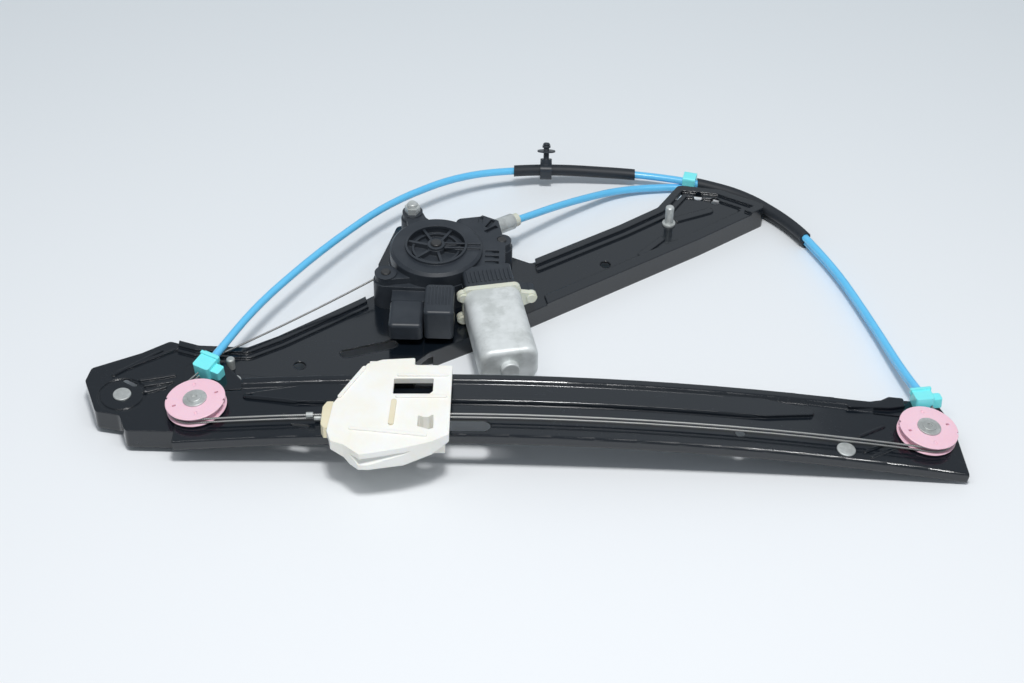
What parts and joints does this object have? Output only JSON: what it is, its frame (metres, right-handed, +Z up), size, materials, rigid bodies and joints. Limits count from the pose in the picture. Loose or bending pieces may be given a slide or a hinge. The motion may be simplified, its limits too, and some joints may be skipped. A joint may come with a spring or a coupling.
{
  "type": "window regulator",
  "caption": "Electric car window regulator: bowed guide rail with cable pulleys, glass carrier, Bowden conduits, cable drum drive and flat motor on a pressed mounting plate.",
  "frame": {"origin": "middle of the bounding box in plan, on the surface the regulator lies on", "axes": "+X along the guide rail from its left to its right end, +Y from the rail towards the mounting arm, +Z up, out of the flat side that shows the motor"},
  "size_m": [0.5985, 0.3683, 0.0515],
  "materials": {
    "black_steel": "black electrocoat, half gloss",
    "black_plastic": "moulded, lightly grained",
    "pink_plastic": "moulded, smooth",
    "cyan_plastic": "moulded, smooth",
    "blue_conduit": "extruded, smooth",
    "white_plastic": "moulded, slightly waxy",
    "natural_nylon": "moulded, waxy",
    "zinc_steel": "zinc plated",
    "dark_steel": "black phosphate",
    "motor_steel": "galvanised, blotchy",
    "flange_plastic": "moulded",
    "cable_steel": "stranded wire",
    "sleeve_rubber": "matt",
    "copper": "enamelled wire",
    "gear_plastic": "moulded",
    "magnet": "sintered"
  },
  "bodies": {
    "frame": {"arm_stud": "zinc_steel", "armature": "copper", "axle_spacer": "zinc_steel", "band": "cyan_plastic", "conduit_drum": "blue_conduit", "conduit_left": "blue_conduit", "conduit_socket": "zinc_steel", "connector": "black_plastic", "drum_cover": "black_plastic", "drum_pin": "dark_steel", "end_rivet": "zinc_steel", "foot_rivet_1": "zinc_steel", "foot_rivet_2": "zinc_steel", "gear_housing": "black_plastic", "guide_rail": "black_steel", "left_axle": "zinc_steel", "left_conduit_end": "cyan_plastic", "left_washer": "zinc_steel", "locating_pin": "zinc_steel", "magnet_left": "magnet", "magnet_right": "magnet", "module_box": "black_plastic", "motor_can": "motor_steel", "motor_flange": "flange_plastic", "mounting_plate": "black_steel", "nut_back": "zinc_steel", "nut_back_upper": "zinc_steel", "nut_left": "zinc_steel", "nut_right": "zinc_steel", "panel_clip": "black_plastic", "rail_stud": "zinc_steel", "right_axle": "zinc_steel", "right_conduit_end": "cyan_plastic", "right_washer": "zinc_steel", "sleeve_first": "sleeve_rubber", "sleeve_second": "sleeve_rubber", "socket_cap": "flange_plastic", "stud_back": "zinc_steel", "stud_left": "dark_steel", "stud_right": "dark_steel", "wing_rivet": "zinc_steel", "wire_bare": "cable_steel", "wire_lower": "cable_steel", "wire_upper": "cable_steel"},
    "carrier": {"glass_carrier": "white_plastic", "carrier_insert": "natural_nylon", "cable_nose": "natural_nylon", "upper_socket": "zinc_steel", "lower_socket": "zinc_steel"},
    "left_wheel": {"left_pulley": "pink_plastic"},
    "right_wheel": {"right_pulley": "pink_plastic"},
    "drum": {"cable_drum": "gear_plastic", "worm_wheel": "gear_plastic"}
  },
  "joints": [
    {"name": "carrier_travel", "type": "hinge", "parent": "frame", "child": "carrier", "pos_m": [-0.0084, -0.1343, -1.865], "axis": [0, 1, 0], "range_deg": [-0.6, 7.7]},
    {"name": "left_pulley_turn", "type": "hinge", "parent": "frame", "child": "left_wheel", "pos_m": [-0.2189, -0.1163, 0.02783], "axis": [-0.1105, 0, 0.9939], "range_deg": [-70, 830]},
    {"name": "right_pulley_turn", "type": "hinge", "parent": "frame", "child": "right_wheel", "pos_m": [0.27427, -0.1163, 0.01841], "axis": [0.1484, 0, 0.9889], "range_deg": [-70, 830]},
    {"name": "drum_turn", "type": "hinge", "parent": "frame", "child": "drum", "pos_m": [-0.0644, 0.0337, 0.03], "axis": [0, 0, 1], "range_deg": [-55, 620]}
  ],
  "couplings": [
    {"joint": "left_pulley_turn", "follows": "carrier_travel", "ratio": 104.64},
    {"joint": "right_pulley_turn", "follows": "carrier_travel", "ratio": 104.64},
    {"joint": "drum_turn", "follows": "carrier_travel", "ratio": 77.735}
  ]
}
